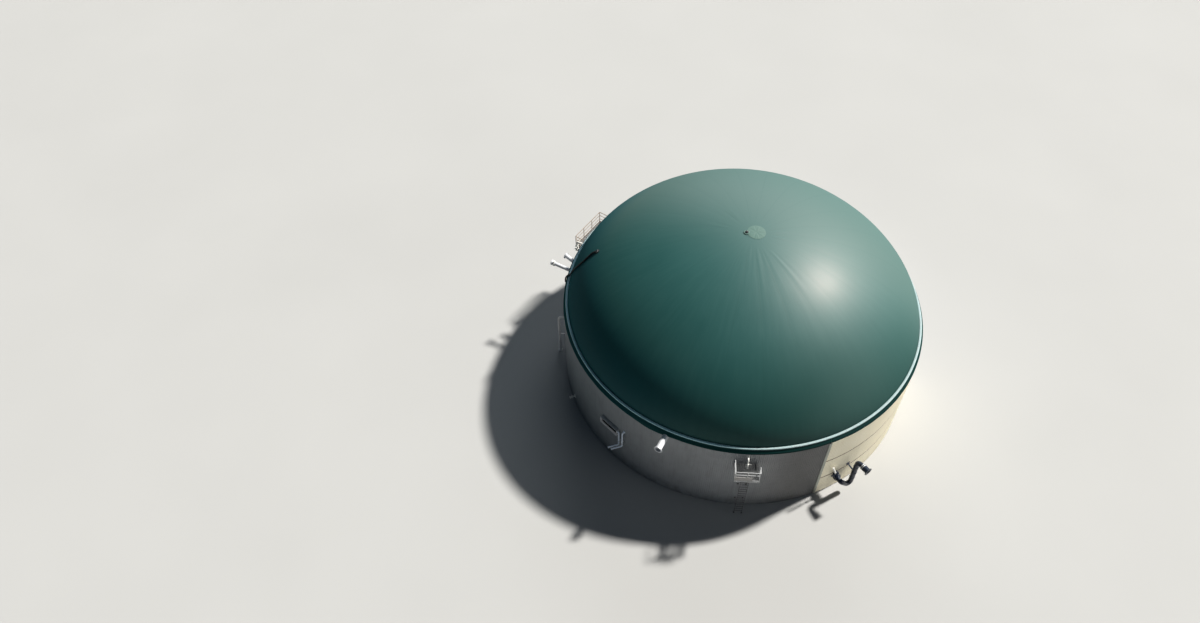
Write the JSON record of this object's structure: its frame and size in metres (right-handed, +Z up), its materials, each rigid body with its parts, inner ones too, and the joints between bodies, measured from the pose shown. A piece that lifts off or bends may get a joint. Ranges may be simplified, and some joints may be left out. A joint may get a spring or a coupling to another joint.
{
  "type": "biogas digester",
  "caption": "Round insulated digester tank with a domed green membrane roof, clamping rail, service platforms, ladders, gas, heating and slurry pipe ends.",
  "frame": {"origin": "centre of the tank floor's underside, on the ground and on the tank axis", "axes": "+Z up along the tank axis; the side seen from the front faces -Y and +X is to its right"},
  "size_m": [25.5133, 25.7554, 13.0103],
  "materials": {
    "concrete": "bare concrete",
    "cladding": "gray ribbed sheet",
    "cream": "cream ribbed sheet",
    "trim": "pale trim",
    "rail": "galvanised clamping rail",
    "skirt": "dark green coated membrane",
    "membrane": "satin green coated membrane",
    "patch": "green membrane patch",
    "galvanised": "galvanised steel",
    "grating": "dark steel grating",
    "aluminium": "aluminium-clad pipe",
    "white": "white painted valve",
    "slurry": "dark blue-black pipe",
    "rubber": "black rubber"
  },
  "bodies": {
    "root": {"air_hose": "rubber", "air_inlet": "rubber", "apex_fitting": "galvanised", "apex_patch": "patch", "back_ladder": "galvanised", "back_platform": "grating", "back_rail_front": "galvanised", "back_rail_left": "galvanised", "back_rail_right": "galvanised", "back_relief_valve": "white", "clamp_rail": "rail", "drain_nozzle": "white", "front_ladder": "galvanised", "front_platform": "grating", "front_rail_front": "galvanised", "front_rail_left": "galvanised", "front_rail_right": "galvanised", "front_relief_valve": "white", "gas_inlet_lower": "white", "gas_inlet_upper": "aluminium", "gas_outlet": "aluminium", "heating_cover": "galvanised", "heating_pipes": "aluminium", "membrane_dome": "membrane", "side_riser": "galvanised", "skirt_band": "skirt", "slurry_nozzle": "slurry", "slurry_riser": "slurry", "slurry_valve": "slurry", "tank_floor": "concrete", "trim_far": "trim", "trim_front": "trim", "wall_01": "cream", "wall_02": "cream", "wall_03": "cladding", "wall_04": "cladding", "wall_05": "cladding", "wall_06": "cladding", "wall_07": "cladding", "wall_08": "cladding", "wall_09": "cladding", "wall_10": "cladding", "wall_11": "cladding", "wall_12": "cladding"}
  },
  "joints": []
}
